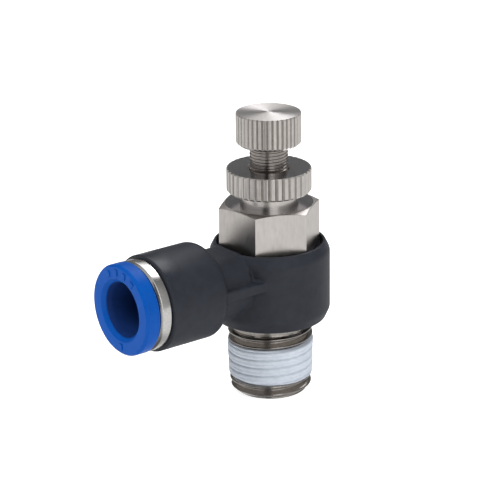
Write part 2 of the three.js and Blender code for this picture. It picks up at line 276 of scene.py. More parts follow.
# A wave texture's scale for bands that lie one unit apart
BAND_SCALE = 0.314
MARK_WAVER = 1.5
MARK_HEIGHT = 0.0012
MARK_TURN = 0.25
FINE_GRAIN = 0.09


class Surface(Nodes):
    """Shader nodes of one material, placed in the object's own coordinates."""

    def __init__(self, name):
        self.material = bpy.data.materials.new(name)
        self.material.use_nodes = True
        super().__init__(self.material.node_tree)
        self.shader = self.tree.nodes["Principled BSDF"]
        self.place = self.tree.nodes.new("ShaderNodeTexCoord").outputs["Object"]

    def set(self, **values):
        for key, value in values.items():
            self.shader.inputs[key.replace("_", " ")].default_value = value

    def noise(self, grain_mm, detail=3.0, stretch=(1, 1, 1)):
        """Noise whose grains are about grain_mm across."""
        mapping = self.tree.nodes.new("ShaderNodeMapping")
        mapping.inputs["Scale"].default_value = [s / (grain_mm * MM) for s in stretch]
        self.link(self.place, mapping.inputs["Vector"])
        node = self.tree.nodes.new("ShaderNodeTexNoise")
        node.inputs["Scale"].default_value = 1.0
        node.inputs["Detail"].default_value = detail
        self.link(mapping.outputs["Vector"], node.inputs["Vector"])
        return node.outputs["Fac"]

    def blend(self, value, one, two):
        return self.mix(value, (*one, 1), (*two, 1))

    def bump(self, value, height_mm, under=None):
        node = self.tree.nodes.new("ShaderNodeBump")
        node.inputs["Distance"].default_value = height_mm * MM
        node.inputs["Strength"].default_value = 1.0
        self.link(value, node.inputs["Height"])
        if under:
            self.link(under, node.inputs["Normal"])
        return node.outputs["Normal"]

    def rings(self, pitch_mm, direction):
        """Fine turning marks: bands across the X or Z axis, or rings ROUND the Z axis."""
        node = self.tree.nodes.new("ShaderNodeTexWave")
        if direction == "ROUND":
            node.wave_type = "RINGS"
            node.rings_direction = "Z"
        else:
            node.bands_direction = direction
        node.inputs["Scale"].default_value = BAND_SCALE / (pitch_mm * MM)
        node.inputs["Distortion"].default_value = MARK_WAVER
        node.inputs["Detail"].default_value = 2.0
        self.link(self.place, node.inputs["Vector"])
        return node.outputs["Fac"]

    def brushed_round(self, amount):
        """Gloss drawn out across marks that run round the Z axis."""
        node = self.tree.nodes.new("ShaderNodeTangent")
        node.direction_type = "RADIAL"
        node.axis = "Z"
        self.link(node.outputs["Tangent"], self.shader.inputs["Tangent"])
        self.set(Anisotropic=amount, Anisotropic_Rotation=MARK_TURN)

    def finish(self, colour, roughness=None, normal=None):
        self.link(colour, self.shader.inputs["Base Color"])
        if roughness is not None:
            self.link(roughness, self.shader.inputs["Roughness"])
        if normal is not None:
            self.link(normal, self.shader.inputs["Normal"])
        return self.material


def metal(name, light, dark, smooth, rough, marks=None, marks_pitch=0.12, grain=0.35, stretch=(1, 1, 1),
          drawn=0.0):
    """Plated or bare metal with turning marks and a slightly uneven sheen."""
    m = Surface(name)
    m.set(Metallic=1.0)
    if drawn:
        m.brushed_round(drawn)
    patches = m.noise(grain, 4.0, stretch)
    colour = m.blend(m.ramp(patches, 0, 1), light, dark)
    normal = m.bump(m.noise(FINE_GRAIN, 2.0, stretch), MARK_HEIGHT)
    if marks:
        normal = m.bump(m.rings(marks_pitch, marks), MARK_HEIGHT, under=normal)
    return m.finish(colour, m.ramp(patches, smooth, rough), normal)


def moulded(name, light, dark, smooth, rough, grain=0.12, height=0.004, specular=0.5, mottle=1.4,
            gloss=None):
    """Moulded plastic or rubber: fine grain, faint mottling and uneven gloss.
    gloss(surface) gives a socket that scales the roughness from place to place."""
    m = Surface(name)
    m.set(Specular_IOR_Level=specular)
    colour = m.blend(m.ramp(m.noise(mottle, 4.0), 0, 1), light, dark)
    fine = m.noise(grain, 3.0)
    roughness = m.ramp(fine, smooth, rough)
    if gloss:
        roughness = m.maths("MULTIPLY", roughness, gloss(m))
    return m.finish(colour, roughness, m.bump(fine, height))


# Distances behind the barrel's front and above the port's axis over which the gloss comes and goes
GLOSS_BEHIND = (1.2, 3.4)
GLOSS_ABOVE = (1.5, 6.0)
GLOSS_SCALE = 0.5


def barrel_gloss(m):
    """Roughness scale of the resin: 1 in most places, GLOSS_SCALE on top of the barrel's front end."""
    split = m.tree.nodes.new("ShaderNodeSeparateXYZ")
    m.link(m.place, split.inputs[0])
    front = m.ramp(split.outputs["X"], 1, 0, *[(BARREL_FRONT + x) * MM for x in GLOSS_BEHIND])
    top = m.ramp(split.outputs["Z"], 0, 1, *[(PORT_Z + z) * MM for z in GLOSS_ABOVE])
    return m.ramp(m.maths("MULTIPLY", front, top), 1, GLOSS_SCALE, 0, 1)


NICKEL_LIGHT = (0.71, 0.67, 0.635)
NICKEL_DARK = (0.64, 0.60, 0.565)
RESIN_LIGHT = (0.021, 0.024, 0.032)
RESIN_DARK = (0.017, 0.019, 0.025)
UP_AND_DOWN = (1, 1, 0.3)
FINISHES = {
    "hex_nickel": metal("hex_nickel", NICKEL_LIGHT, NICKEL_DARK, 0.29, 0.38, grain=0.5, stretch=UP_AND_DOWN),
    # Darker copy of the nickel for the knurl groove walls: painted shade down in the grooves
    "groove_shade_nickel": metal("groove_shade_nickel", (0.64, 0.61, 0.58), (0.56, 0.53, 0.50), 0.3, 0.42),
    "turned_nickel": metal("turned_nickel", NICKEL_LIGHT, NICKEL_DARK, 0.18, 0.28, marks="Z"),
    # Darker copy of the nickel for the adjusting screw: painted shade where it stands between the lock nut and
    # the knob
    "screw_shade_nickel": metal("screw_shade_nickel", (0.46, 0.425, 0.40), (0.37, 0.34, 0.32), 0.16, 0.26),
    # Darker, warmer copy of the nickel for the stem and its thread: painted shade between the thread's turns
    "thread_shade_nickel": metal("thread_shade_nickel", (0.44, 0.41, 0.385), (0.35, 0.325, 0.30), 0.14, 0.26),
    "rim_nickel": metal("rim_nickel", NICKEL_LIGHT, NICKEL_DARK, 0.26, 0.38, stretch=UP_AND_DOWN),
    # Turned top faces: the ring marks and gloss are real; the darker, bluish colour is a painted dark
    # reflection
    "face_shade_nickel": metal("face_shade_nickel", (0.60, 0.59, 0.60), (0.52, 0.51, 0.53), 0.14, 0.22, marks="ROUND",
                         marks_pitch=0.16),
    # Knob's turned top: the drawn marks and gloss are real; its paler colour than the rim's nickel is a painted
    # highlight
    "drawn_highlight_nickel": metal("drawn_highlight_nickel", (0.86, 0.83, 0.81), (0.78, 0.75, 0.73), 0.42, 0.5, marks="ROUND",
                          marks_pitch=0.16, drawn=0.8),
    "port_nickel": metal("port_nickel", (0.76, 0.75, 0.73), (0.68, 0.67, 0.65), 0.14, 0.24, marks="X"),
    "brass": metal("brass", (0.72, 0.50, 0.22), (0.6, 0.4, 0.17), 0.22, 0.34, marks="Z"),
    "stainless": metal("stainless", (0.6, 0.6, 0.61), (0.5, 0.5, 0.51), 0.2, 0.3),
    "resin": moulded("resin", RESIN_LIGHT, RESIN_DARK, 0.42, 0.56, specular=0.24, gloss=barrel_gloss),
    "blue": moulded("blue", (0.001, 0.071, 0.345), (0.001, 0.062, 0.31), 0.3, 0.42, height=0.002,
                    specular=0.11),
    # Darker copy of the blue for the ring's bore: painted shade down the hole
    "blue_bore_shade": moulded("blue_bore_shade", (0.010, 0.034, 0.145), (0.008, 0.028, 0.12), 0.4, 0.5, height=0.002,
                         specular=0.15),
    "nitrile": moulded("nitrile", (0.012, 0.012, 0.013), (0.02, 0.02, 0.021), 0.5, 0.7),
    "acetal": moulded("acetal", (0.72, 0.70, 0.64), (0.66, 0.64, 0.58), 0.35, 0.5),
    "sealant": moulded("sealant", (0.53, 0.57, 0.625), (0.46, 0.50, 0.56), 0.75, 0.95, grain=0.25,
                       height=0.03, specular=0.25, mottle=0.9),
}


def dress(piece, body, slot, finish, *nodes):
    """Gives a piece its material and its body, and hides the CAD nodes that it stands for. The slot is not
    used.
    """
    piece.data.materials.clear()
    piece.data.materials.append(FINISHES[finish])
    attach(piece, body)
    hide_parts(*nodes)


def paint_light_on_faces(piece, finish, chosen):
    """Another material, a lighter or darker copy of the piece's own, on the faces where chosen(centre, normal)
    is true: painted light or shade there.
    """
    piece.data.materials.append(FINISHES[finish])
    index = len(piece.data.materials) - 1
    for polygon in piece.data.polygons:
        if chosen(polygon.center / MM, polygon.normal):
            polygon.material_index = index


# ---------------------------------------------------------------- metal body
HEX_TOP = BODY_HIGH[2]
HEX_LOW = 23.5
HEX_APOTHEM = 7.0
HEX_TURN = math.radians(-23.9)
HEX_CORNER_R = 0.08
HEX_CROWN_R = 6.95
HEX_CROWN_SLOPE = 0.3
HEX_CROWN_DROP = 0.03
HEX_BREAK = 0.05
HEX_EDGE = 0.06
HEX_BORE_R = 4.06
HEX_SOCKET_R = 6.0
HEX_SOCKET_TOP = 24.6
FLAT_NORMAL = 0.985

THREAD_TOP = 10.7
THREAD_PITCH = 25.4 / 19
THREAD_DEPTH = 0.856
STEM_END_R = 5.5
STEM_END_SLOPE = 1.05
STEM_NECK_R = 6.3
STEM_NECK_LOW, STEM_NECK_HIGH = 10.8, 12.3
RUNOUT_SLOPE = 1.4
STEM_R = 6.75
STEM_CONE_TOP = 12.75
STEM_TOP = 23.48
# Snap ring groove, lower O-ring groove, gallery and upper O-ring groove: radius of the floor, low and high
STEM_GROOVES = ((6.2, 13.1, 13.9), (5.5, 14.3, 15.7), (5.2, 16.0, 21.2), (5.5, 21.5, 22.9))
PORT_BORE_R = 4.0
CHAMBER_R = 3.3
CHAMBER_LOW = 18.4

COAT_PROUD = 0.12
COAT_FLOOR_R = 5.9
COAT_PAST_LOW, COAT_SHORT_HIGH = 0.1, 0.3
# Depth and width of the valleys between its ridges (width as a share of the pitch), of the dip along each
# ridge, and of the rounding at both ends (width in millimetres)
VALLEY_DEPTH, VALLEY_WIDTH = 0.24, 0.12
DIP_DEPTH, DIP_WIDTH = 0.05, 0.07
END_DEPTH, END_WIDTH = 0.35, 0.22


def crest_radius(z):
    """Crest of the R1/4 taper thread: 13.157 mm across, 6 mm up, taper 1 in 16."""
    return 6.5785 + (z - 6.0) / 32


def spread(point):
    """Distance from the Z axis."""
    return math.hypot(point.x, point.y)


def hex_outline(corner_steps=6, flat_parts=14):
    """Points of the hexagon with rounded corners, as (radius, angle)."""
    sixth = TURN / 6
    centre_r = (HEX_APOTHEM - HEX_CORNER_R) / math.cos(sixth / 2)
    arcs = []
    for i in range(6):
        corner = HEX_TURN + i * sixth
        x, y = centre_r * math.cos(corner), centre_r * math.sin(corner)
        angles = [corner + sixth * (k / corner_steps - 0.5) for k in range(corner_steps + 1)]
        arcs.append([(x + HEX_CORNER_R * math.cos(a), y + HEX_CORNER_R * math.sin(a)) for a in angles])
    points = []
    for i, arc in enumerate(arcs):
        x, y = arc[-1]
        next_x, next_y = arcs[(i + 1) % 6][0]
        shares = [k / flat_parts for k in range(1, flat_parts)]
        points += arc
        points += [(x + (next_x - x) * share, y + (next_y - y) * share) for share in shares]
    return [(math.hypot(x, y), math.atan2(y, x)) for x, y in points]


def hex_section(side):
    """Outline (r, z) of the hexagon's wall where its side is that far from the axis."""
    drop = HEX_CROWN_DROP + max(side - HEX_CROWN_R, 0) * HEX_CROWN_SLOPE
    rise = HEX_BREAK * HEX_CROWN_SLOPE
    return [
        (HEX_BORE_R, HEX_TOP), (HEX_CROWN_R - 0.5, HEX_TOP), (HEX_CROWN_R - HEX_EDGE, HEX_TOP),
        (HEX_CROWN_R, HEX_TOP - 0.02), (side - HEX_BREAK, HEX_TOP - drop + rise),
        (side, HEX_TOP - drop - HEX_EDGE), (side, HEX_LOW + drop + HEX_EDGE),
        (side - HEX_BREAK, HEX_LOW + drop - rise), (HEX_CROWN_R, HEX_LOW), (HEX_SOCKET_R, HEX_LOW),
        (HEX_SOCKET_R, HEX_SOCKET_TOP), (HEX_BORE_R, HEX_SOCKET_TOP)]


def make_hexagon():
    vertices = []
    outline = hex_outline()
    for side, angle in outline:
        section = hex_section(side)
        vertices += [upright(r, z, angle) for r, z in section]
    piece = object_from("body_hexagon", vertices, band_faces(len(outline), len(section)), 20.0)
    dress(piece, "metal_body", "nickel_plate", "hex_nickel", "valve_body")
    # Hexagon's top face: darker nickel, a painted dark reflection
    paint_light_on_faces(piece, "face_shade_nickel", lambda centre, normal: (
        normal.z > FLAT_NORMAL and centre.z > HEX_TOP - 0.5))


def make_thread():
    """Stem from the thread's end face up to the hexagon, with the R1/4 thread cut as a helix."""
    def radius(z, angle):
        r = crest_radius(z) - THREAD_DEPTH * v_form(z / THREAD_PITCH - angle / TURN)
        r = max(r, STEM_NECK_R - RUNOUT_SLOPE * (THREAD_TOP - z))
        return min(r, STEM_END_R + STEM_END_SLOPE * z)

    before = [(PORT_BORE_R, 0.25), (PORT_BORE_R + 0.2, 0.0), (STEM_END_R - 0.15, 0.0)]
    after = [(STEM_NECK_R, STEM_NECK_LOW, 0.03), (STEM_NECK_R, STEM_NECK_HIGH, 0.1),
             (STEM_R, STEM_CONE_TOP, 0)]
    for floor, low, high in STEM_GROOVES:
        after += [(STEM_R, low, 0), (floor, low, 0), (floor, high, 0), (STEM_R, high, 0)]
    after += [(STEM_R, STEM_TOP, 0), (CHAMBER_R, STEM_TOP, 0), (CHAMBER_R, CHAMBER_LOW, 0),
              (PORT_BORE_R, CHAMBER_LOW, 0)]
    piece = helical("body_stem", 0.0, THREAD_TOP, THREAD_PITCH, radius, before, rounded(after), sharp=40.0)
    # The stem wears the darker copy of the plating: painted shade between the thread's turns
    dress(piece, "metal_body", "nickel_plate", "thread_shade_nickel", "valve_body")


def bell(distance, width):
    return math.exp(-(distance / width) ** 2)


def make_sealant():
    """White coat with a ridge over each turn of the thread, slightly uneven round the stem."""
    low, high = COAT_LOW[2] - COAT_PAST_LOW, COAT_HIGH[2] - COAT_SHORT_HIGH

    def radius(z, angle):
        wave = 0.02 * math.sin(5 * angle + 1.3 * z) + 0.015 * math.sin(11 * angle - 2.1 * z)
        inside = min(max(min(z - low, high - z) / END_WIDTH, 0.0), 1.0)
        turn = (z / THREAD_PITCH - angle / TURN) % 1.0
        valley = VALLEY_DEPTH * bell(turn - 0.5, VALLEY_WIDTH)
        dip = DIP_DEPTH * bell(min(turn, 1 - turn), DIP_WIDTH)
        return crest_radius(z) + COAT_PROUD + wave - valley - dip - END_DEPTH * (1 - inside) ** 2

    before = [(COAT_FLOOR_R, low)]
    after = [(COAT_FLOOR_R, high)]
    piece = helical("sealant_coat", low, high, THREAD_PITCH, radius, before, after, samples=22, sharp=60.0)
    dress(piece, "metal_body", "sealant", "sealant", "thread_sealant")


# ---------------------------------------------------------------- rings inside the metal body
GUIDE_BORE_R = 3.1
SEAT_ORIFICE_R, SEAT_MOUTH_R, SEAT_MOUTH_DEPTH = 2.1, 2.8, 0.6
O_RING_SECTION = 0.65
NEEDLE_O_RING_SECTION = 0.46
PACKING_BORE_R, PACKING_HEEL_R = 5.26, 6.3
SNAP_RING_INNER_R = 6.25
SNAP_RING_OPEN_HALF = 0.35


def make_inner_rings():
    """Bushes and seals that show only through a bore or when a joint moves."""
    low, high = box_mm("needle_guide")
    guide = ring("guide_bush", [
        (GUIDE_BORE_R, low[2], 0), (high[0], low[2], 0), (high[0], high[2], 0.05),
        (GUIDE_BORE_R, high[2], 0.1)])
    dress(guide, "metal_body", "brass", "brass", "needle_guide")
    low, high = box_mm("seat_ring")
    seat = ring("seat_insert", [
        (SEAT_MOUTH_R, low[2], 0.1), (high[0], low[2], 0.1), (high[0], high[2], 0),
        (SEAT_ORIFICE_R, high[2], 0), (SEAT_ORIFICE_R, low[2] + SEAT_MOUTH_DEPTH, 0.1)])
    dress(seat, "metal_body", "brass", "brass", "seat_ring")
    for name, node in (("o_ring_low", "lower_o_ring"), ("o_ring_high", "upper_o_ring")):
        dress(round_ring(name, node, O_RING_SECTION), "metal_body", "nitrile", "nitrile", node)
    make_lip_packing()
    seal_ring = round_ring("o_ring_needle", "needle_o_ring", NEEDLE_O_RING_SECTION)
    dress(seal_ring, "needle_carrier", "nitrile", "nitrile", "needle_o_ring")


def make_lip_packing():
    """Check valve's packing: a heel on the stem and a lip that leans outwards and down."""
    low, high = box_mm("check_seal")
    packing = ring("lip_packing", [
        (PACKING_BORE_R, low[2], 0.05), (PACKING_BORE_R + 0.34, low[2], 0.05),
        (PACKING_BORE_R + 0.49, low[2] + 0.6, 0.05), (high[0] - 0.47, low[2], 0.05),
        (high[0], low[2] + 0.05, 0.04), (PACKING_HEEL_R, high[2], 0.1), (PACKING_BORE_R, high[2], 0.1)])
    dress(packing, "metal_body", "nitrile", "nitrile", "check_seal")


def make_snap_ring():
    """Open wire ring under the elbow."""
    box_low, box_high = box_mm("retaining_ring")
    outer, low, high = -box_low[0], box_low[2], box_high[2]
    section = rounded([(SNAP_RING_INNER_R, low, 0.1), (outer, low, 0.1), (outer, high, 0.1),
                       (SNAP_RING_INNER_R, high, 0.1)])
    steps = 120
    vertices = []
    for i in range(steps + 1):
        angle = SNAP_RING_OPEN_HALF + (TURN - 2 * SNAP_RING_OPEN_HALF) * i / steps
        vertices += [upright(r, z, angle) for r, z in section]
    faces = band_faces(steps + 1, len(section), closed=False) + end_caps(steps + 1, len(section))
    dress(object_from("snap_ring", vertices, faces), "metal_body", "stainless", "stainless", "retaining_ring")


# ---------------------------------------------------------------- resin elbow
SHELL_R = SHELL_HIGH[0]
SHELL_TOP = 24.63
SHELL_UNDERSIDE = SHELL_LOW[2]
SHELL_EDGE = 0.16
# Where each bevel leaves the shell's side, which way it faces, and its rounding
UPPER_BEVEL_LOW, UPPER_BEVEL_WAY, UPPER_BEVEL_EDGE = 23.2, (1.43, 0.75), 0.22
LOWER_BEVEL_HIGH, LOWER_BEVEL_WAY = 13.75, (1.25, -0.58)
BARREL_R = 7.53
BARREL_BACK = -13.2
BARREL_FILLET = 1.7
BARREL_LIP = 0.35
NECK_R = 5.75
NECK_END = -7.88
NECK_CROWN, NECK_CROWN_WAY, NECK_CROWN_EDGE = (-8.3, 25.02), (-0.09, 1.0), 0.7
NECK_END_EDGE = 0.12
RIB_REACH, RIB_Z, RIB_HALF, RIB_EDGE = 7.0, 20.1, 0.8, 0.25
RIB_BACK = BARREL_BACK - 1.2
JOIN_EDGE = 0.25
SHELL_JOIN_EDGE = 0.2
BORE_R = 6.9
RECESS_R, RECESS_FLOOR = 8.33, 23.3
COUNTERBORE_R, COUNTERBORE_TOP = 7.5, 13.9
CARTRIDGE_R, CARTRIDGE_END = 6.2, -17.0
TUBE_R, TUBE_END = 4.1, -12.6
PASSAGE_HALF_WIDTH, PASSAGE_HALF_HEIGHT = 2.8, 1.75
PASSAGE_FROM, PASSAGE_TO = -13.6, -5.6
BORE_EDGE = 0.08
FINE_VOXEL, QUICK_VOXEL = 0.13, 0.3

# Hollow between the neck's end and the shell. Its floor faces HOLLOW_WAY and meets the shell again further
# round. Settling moves a point SETTLE_ROUNDS * SETTLE_REACH at most, so the hollow is no deeper than that.
HOLLOW_LOW = 20.9
HOLLOW_DEEP = 4.5
HOLLOW_EDGE = 0.3
HOLLOW_WAY = Vector((1.9, 2.8, 0)).cross(Vector((0, 0.75, 2.9))).normalized()

SETTLE_ROUNDS = 6
SETTLE_REACH = 0.12
SETTLE_STEP = 0.004
LEAST_SLOPE = 0.05


def smooth_max(a, b, k):
    """The larger of two distances, with the edge between them rounded over k."""
    h = np.clip(0.5 - 0.5 * (b - a) / k, 0, 1)
    return b + (a - b) * h + k * h * (1 - h)


def smooth_min(a, b, k):
    return -smooth_max(-a, -b, k)


def half_plane(u, v, point, normal):
    """Signed distance from the line through point. normal points outwards."""
    length = math.hypot(*normal)
    return ((u - point[0]) * normal[0] + (v - point[1]) * normal[1]) / length


def shell_distance(rho, z):
    """Round shell with a bevel at each end. Its underside is level with the barrel's."""
    shell = smooth_max(rho - SHELL_R, SHELL_UNDERSIDE - z, SHELL_EDGE)
    upper = half_plane(rho, z, (SHELL_R, UPPER_BEVEL_LOW), UPPER_BEVEL_WAY)
    shell = smooth_max(shell, upper, UPPER_BEVEL_EDGE)
    shell = smooth_max(shell, z - SHELL_TOP, SHELL_EDGE)
    return smooth_max(shell, half_plane(rho, z, (SHELL_R, LOWER_BEVEL_HIGH), LOWER_BEVEL_WAY), SHELL_EDGE)


def arm_distance(x, y, z, q):
    """Barrel, neck and side ribs. q is the distance from the port's axis."""
    across, back = q - BARREL_R + BARREL_FILLET, x - BARREL_BACK + BARREL_FILLET
    corner = np.hypot(np.maximum(across, 0), np.maximum(back, 0))
    barrel = np.minimum(np.maximum(across, back), 0) + corner - BARREL_FILLET
    barrel = smooth_max(barrel, BARREL_FRONT - x, BARREL_LIP)
    neck = smooth_max(q - NECK_R, half_plane(x, z, NECK_CROWN, NECK_CROWN_WAY), NECK_CROWN_EDGE)
    neck = smooth_max(neck, x - NECK_END, NECK_END_EDGE)
    rib = smooth_max(np.abs(y) - RIB_REACH, np.abs(z - RIB_Z) - RIB_HALF, RIB_EDGE)
    rib = smooth_max(rib, x, 0.1)
    rib = np.maximum(rib, RIB_BACK - x)
    return smooth_min(smooth_min(barrel, neck, JOIN_EDGE), rib, JOIN_EDGE)


def hollow_distance(x, y, z):
    """The two hollows beside the neck's end, one on each side."""
    slant = (x - NECK_END) * HOLLOW_WAY.x + (np.abs(y) - HOLLOW_DEEP) * HOLLOW_WAY.y
    slant = slant + (z - HOLLOW_LOW) * HOLLOW_WAY.z
    return np.maximum(np.maximum(slant, NECK_END - x), HOLLOW_LOW - z)


def bore_distance(x, y, z, rho, q):
    """Stem bore with its recess and counterbore, the port's two bores and the oval passage between them."""
    bore = np.minimum(rho - BORE_R, np.maximum(rho - RECESS_R, RECESS_FLOOR - z))
    bore = np.minimum(bore, np.maximum(rho - COUNTERBORE_R, z - COUNTERBORE_TOP))
    cartridge = np.maximum(q - CARTRIDGE_R, x - CARTRIDGE_END)
    tube = np.maximum(q - TUBE_R, x - TUBE_END)
    oval = np.hypot(y / PASSAGE_HALF_WIDTH, (z - PORT_Z) / PASSAGE_HALF_HEIGHT)
    oval = (oval - 1) * PASSAGE_HALF_HEIGHT
    passage = np.maximum(oval, np.maximum(PASSAGE_FROM - x, x - PASSAGE_TO))
    return np.minimum(np.minimum(bore, np.minimum(cartridge, tube)), passage)


def elbow_distance(p):
    """Signed distance, in millimetres, from points to the moulded elbow's skin. Negative is inside."""
    x, y, z = p[:, 0], p[:, 1], p[:, 2]
    rho = np.hypot(x, y)
    q = np.hypot(y, z - PORT_Z)
    body = smooth_min(arm_distance(x, y, z, q), shell_distance(rho, z), SHELL_JOIN_EDGE)
    body = smooth_max(body, -hollow_distance(x, y, z), HOLLOW_EDGE)
    return smooth_max(body, -bore_distance(x, y, z, rho, q), BORE_EDGE)


def settle(points, distance):
    """Moves points along the gradient of a distance until they lie on its zero surface."""
    for _ in range(SETTLE_ROUNDS):
        here = distance(points)
        slope = np.empty_like(points)
        for axis in range(3):
            shifted = points.copy()
            shifted[:, axis] += SETTLE_STEP
            slope[:, axis] = (distance(shifted) - here) / SETTLE_STEP
        steepness = np.maximum((slope ** 2).sum(1), LEAST_SLOPE)
        points = points - slope * np.clip(here / steepness, -SETTLE_REACH, SETTLE_REACH)[:, None]
    return points


def make_elbow():
    """The CAD elbow, remeshed finely and settled on the rounded skin."""
    piece = bpy.data.objects.new("elbow_moulding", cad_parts["elbow_body"].data.copy())
    bpy.context.scene.collection.objects.link(piece)
    remesh = piece.modifiers.new("skin", "REMESH")
    remesh.mode = "VOXEL"
    remesh.voxel_size = FINE_VOXEL * MM
    depsgraph = bpy.context.evaluated_depsgraph_get()
    mesh = bpy.data.meshes.new_from_object(piece.evaluated_get(depsgraph))
    piece.modifiers.clear()
    piece.data = mesh
    points = np.empty(len(mesh.vertices) * 3)
    mesh.vertices.foreach_get("co", points)
    points = settle(points.reshape(-1, 3) / MM, elbow_distance)
    mesh.vertices.foreach_set("co", (points * MM).ravel())
    mesh.update()
    mesh.shade_smooth()
    dress(piece, "elbow", "black_resin", "resin", "elbow_body")


# ---------------------------------------------------------------- tube cartridge
FLANGE_R = (FLANGE_HIGH[1] - FLANGE_LOW[1]) / 2
FLANGE_GAP = 0.07
SLEEVE_R, SLEEVE_END = 6.15, FLANGE_HIGH[0]
SLEEVE_BORE_R = 5.5
SHOULDER_R, SHOULDER_END = 5.05, -23.2
HOLDER_BORE_R = 4.35
TUBE_SEAL_LIP_R = 3.95
CLAW_COUNT, CLAW_STEPS = 8, 24
CLAW_TIP_R, CLAW_ROOT_R = 3.95, 5.2
CLAW_SHARE = 0.74

RING_R = (RING_HIGH[1] - RING_LOW[1]) / 2
RING_FACE, RING_END = RING_LOW[0], RING_HIGH[0]
RING_BACK = -26.35
RING_BORE_R = 4.2
RING_SLEEVE_R = 4.9
# The lug clears the collar's shoulder by a hair when the ring is pulled out to its limit
LUG_R, LUG_FRONT, LUG_BACK = 5.35, -21.94, -21.6

MARK_DEGREES = (62, 82, 102, 122, 270)
MARK_INNER_R, MARK_OUTER_R = 5.35, 6.35
MARK_PROUD, MARK_ROOT = 0.14, 0.2
MARK_HALF_TURN = math.radians(4.0)
MARK_END_EASE = 0.12


def make_guide_ring():
    """Metal collar: a flange on the barrel's front and a sleeve with a shoulder inside it."""
    front, back = FLANGE_LOW[0], BARREL_FRONT - FLANGE_GAP
    collar = ring("front_collar", [
        (SHOULDER_R, front + 0.25, 0.1), (SHOULDER_R + 1.5, front + 0.02, 0.05), (FLANGE_R - 0.3, front, 0.2),
        (FLANGE_R, front + 0.4, 0.25), (FLANGE_R, back - 0.13, 0.1), (FLANGE_R - 0.2, back, 0.05),
        (SLEEVE_R, back, 0), (SLEEVE_R, SLEEVE_END, 0.1), (SLEEVE_BORE_R, SLEEVE_END, 0.05),
        (SLEEVE_BORE_R, SHOULDER_END, 0), (SHOULDER_R, SHOULDER_END, 0.05)], along_port, 192)
    dress(collar, "elbow", "nickel_plate", "port_nickel", "guide_ring")


def make_cartridge():
    """Claws, their holder and the tube seal, down inside the port."""
    low, high = box_mm("claw_holder")
    front, back, outer = low[0], high[0], high[1]
    holder = ring("claw_seat", [
        (4.7, front + 0.3, 0.05), (5.3, front, 0.05), (outer, front, 0.05), (outer, back, 0.05),
        (HOLDER_BORE_R, back, 0.05), (HOLDER_BORE_R, back - 0.4, 0.05)], along_port)
    dress(holder, "elbow", "natural_acetal", "acetal", "claw_holder")
    low, high = box_mm("tube_seal")
    front, back, outer = low[0], high[0], high[1]
    seal = ring("tube_packing", [
        (4.4, front, 0.2), (outer, front, 0.2), (outer, back, 0.2), (4.6, back, 0.2),
        (TUBE_SEAL_LIP_R, back - 0.8, 0.3), (TUBE_SEAL_LIP_R, back - 1.3, 0.3)], along_port)
    dress(seal, "elbow", "nitrile", "nitrile", "tube_seal")
    make_claws()


def make_claws():
    """Thin star ring whose teeth reach in to the tube."""
    low, high = box_mm("lock_claws")
    front, back, outer = low[0], high[0], high[1]
    count = CLAW_COUNT * CLAW_STEPS
    vertices = []
    for i in range(count):
        part = (i % CLAW_STEPS) / CLAW_STEPS
        inner = CLAW_TIP_R if part < CLAW_SHARE else CLAW_ROOT_R
        for r, x in ((outer, front), (inner, front), (inner, back), (outer, back)):
            vertices.append(along_port(r, x, TURN * i / count))
    star = object_from("claw_star", vertices, band_faces(count, 4))
    dress(star, "elbow", "stainless", "stainless", "lock_claws")


def make_release_ring():
    """Blue ring whose sleeve runs in past the collar's shoulder and ends in a lug."""
    piece = ring("push_ring", [
        (RING_BORE_R + 0.75, RING_FACE + 0.02, 0.2), (RING_R - 0.35, RING_FACE, 0.1),
        (RING_R, RING_FACE + 0.4, 0.35), (RING_R, RING_BACK - 0.1, 0.05), (RING_R - 0.1, RING_BACK, 0.05),
        (RING_SLEEVE_R, RING_BACK, 0.1), (RING_SLEEVE_R, LUG_FRONT, 0.05), (LUG_R, LUG_FRONT, 0.05),
        (LUG_R, LUG_BACK, 0.1), (RING_SLEEVE_R - 0.2, RING_END, 0.1), (RING_BORE_R, RING_END, 0.1),
        (RING_BORE_R, RING_FACE + 1.55, 0.3), (RING_BORE_R + 0.18, RING_FACE + 0.55, 0.3)], along_port, 192)
    dress(piece, "release", "blue_acetal", "blue", "release_ring")
    # Bore faces take the darker blue: painted shade down the hole
    paint_light_on_faces(piece, "blue_bore_shade", lambda centre, _: (
        math.hypot(centre.y, centre.z - PORT_Z) < RING_BORE_R + 0.1))


def make_marks():
    """Raised bars round the release ring's face, where such a ring carries moulded marks."""
    steps = 8
    for index, degrees in enumerate(MARK_DEGREES):
        vertices = []
        for i in range(steps + 1):
            angle = math.radians(degrees) + MARK_HALF_TURN * (2 * i / steps - 1)
            ease = MARK_END_EASE if i in (0, steps) else 0.0
            top = RING_FACE - MARK_PROUD + ease * 0.4
            for r, x in ((MARK_INNER_R, RING_FACE + MARK_ROOT), (MARK_INNER_R + ease, top),
                         (MARK_OUTER_R - ease, top), (MARK_OUTER_R, RING_FACE + MARK_ROOT)):
                vertices.append(along_port(r, x, angle))
        faces = band_faces(steps + 1, 4, closed=False) + end_caps(steps + 1, 4)
        bar = object_from(f"ring_mark_{index + 1}", vertices, faces, 40.0)
        bar.data.materials.append(FINISHES["blue"])
        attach(bar, "release")


# ---------------------------------------------------------------- needle, knob and lock nut
KNOB_R, KNOB_GROOVES, KNOB_GROOVE_DEPTH = 5.07, 40, 0.28
KNOB_BORE_R, KNOB_BORE_TOP = 2.45, 44.1
NUT_R, NUT_GROOVES, NUT_GROOVE_DEPTH = 6.62, 38, 0.31
NUT_BORE_R = 3.05
COLLAR_R = COLLAR_HIGH[0]
GROOVE_SHARE = 0.46
GROOVE_ROUNDNESS = 0.8
GROOVE_STEPS = 14
GROOVE_ROW = 0.12
CREST_INSET = 0.01

